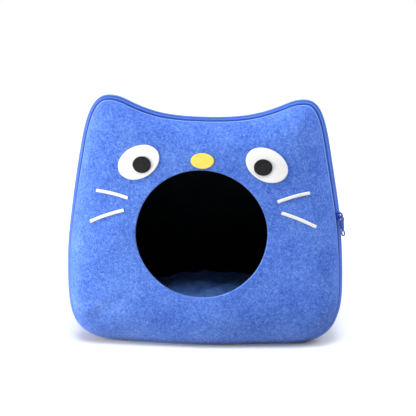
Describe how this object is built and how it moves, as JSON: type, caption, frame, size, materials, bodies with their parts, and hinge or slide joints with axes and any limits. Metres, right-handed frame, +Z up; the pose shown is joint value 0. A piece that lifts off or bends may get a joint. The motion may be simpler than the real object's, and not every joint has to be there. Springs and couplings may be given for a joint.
{
  "type": "felt cat cave",
  "caption": "Soft felt cat cave shaped like a cat's head, with a round entrance in its domed front, a sewn-on face, a zip round the front seam and a loose cushion inside.",
  "frame": {"origin": "on the floor, under the middle of the base", "axes": "+Z up, -Y out of the entrance, +X to the right of someone who looks at the face"},
  "size_m": [0.4224, 0.3321, 0.3823],
  "materials": {
    "body_felt": "thick mottled felt",
    "white_felt": "thin felt",
    "black_felt": "thin felt",
    "yellow_felt": "thin felt",
    "zip_tape": "woven tape",
    "zip_coil": "nylon coil",
    "zip_metal": "lacquered",
    "cushion_cloth": "soft brushed cloth"
  },
  "bodies": {
    "root": {"front_panel": "body_felt", "gusset": "body_felt", "back_panel": "body_felt", "zip_tape_front": "zip_tape", "zip_tape_rear": "zip_tape", "zip_coil": "zip_coil", "zip_slider": "zip_metal", "zip_pull": "zip_metal", "cushion": "cushion_cloth", "eye_white_left": "white_felt", "eye_white_right": "white_felt", "pupil_left": "black_felt", "pupil_right": "black_felt", "nose": "yellow_felt", "whisker_left_upper": "white_felt", "whisker_left_lower": "white_felt", "whisker_right_upper": "white_felt", "whisker_right_lower": "white_felt"}
  },
  "joints": []
}
